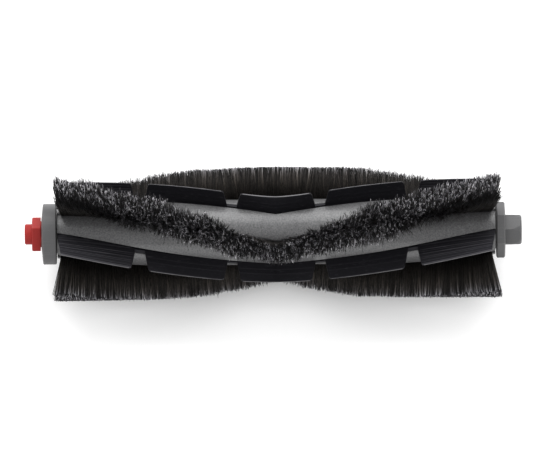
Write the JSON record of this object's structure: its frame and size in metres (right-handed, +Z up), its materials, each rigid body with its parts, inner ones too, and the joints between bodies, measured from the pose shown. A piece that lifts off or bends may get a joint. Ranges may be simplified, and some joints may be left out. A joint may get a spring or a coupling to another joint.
{
  "type": "roller brush",
  "caption": "Sweeping roller with V-shaped rows of bristles and notched rubber blades, a six-sided drive stub at one end and a square bearing block at the other.",
  "frame": {"origin": "on the surface that the roller lies on, under the middle of its overall length", "axes": "+X along the roller's axis towards the six-sided drive stub, +Z up as the roller lies on its bristle tips"},
  "size_m": [0.28, 0.076, 0.0746],
  "materials": {
    "core_plastic": "satin moulded",
    "spine_plastic": "satin",
    "bristle": "fine filaments",
    "blade_rubber": "satin",
    "cap_plastic": "satin moulded",
    "steel": "bright",
    "block_plastic": "satin"
  },
  "bodies": {
    "roller": {"roller_core": "core_plastic", "bristle_spine_1": "spine_plastic", "bristle_spine_2": "spine_plastic", "bristle_spine_3": "spine_plastic", "bristle_tufts_1": "bristle", "bristle_tufts_2": "bristle", "bristle_tufts_3": "bristle", "wiper_blade_1": "blade_rubber", "wiper_blade_2": "blade_rubber", "wiper_blade_3": "blade_rubber", "bearing_end_cap": "cap_plastic", "drive_end_cap": "cap_plastic", "axle_pin": "steel", "bearing_inner_ring": "steel"},
    "held_block": {"bearing_block": "block_plastic", "bearing_outer_ring": "steel", "bearing_shield_inner": "steel", "bearing_shield_outer": "steel"},
    "ball_ring": {"bearing_balls": "steel", "bearing_cage": "steel"}
  },
  "joints": [
    {"name": "bearing_spin", "type": "hinge", "parent": "roller", "child": "held_block", "pos_m": [-0.1288, 0, 0.03662], "axis": [1, 0, 0], "continuous": true},
    {"name": "ball_spin", "type": "hinge", "parent": "roller", "child": "ball_ring", "pos_m": [-0.1288, 0, 0.03662], "axis": [1, 0, 0], "continuous": true}
  ],
  "couplings": [
    {"joint": "ball_spin", "follows": "bearing_spin", "ratio": 0.5975}
  ]
}
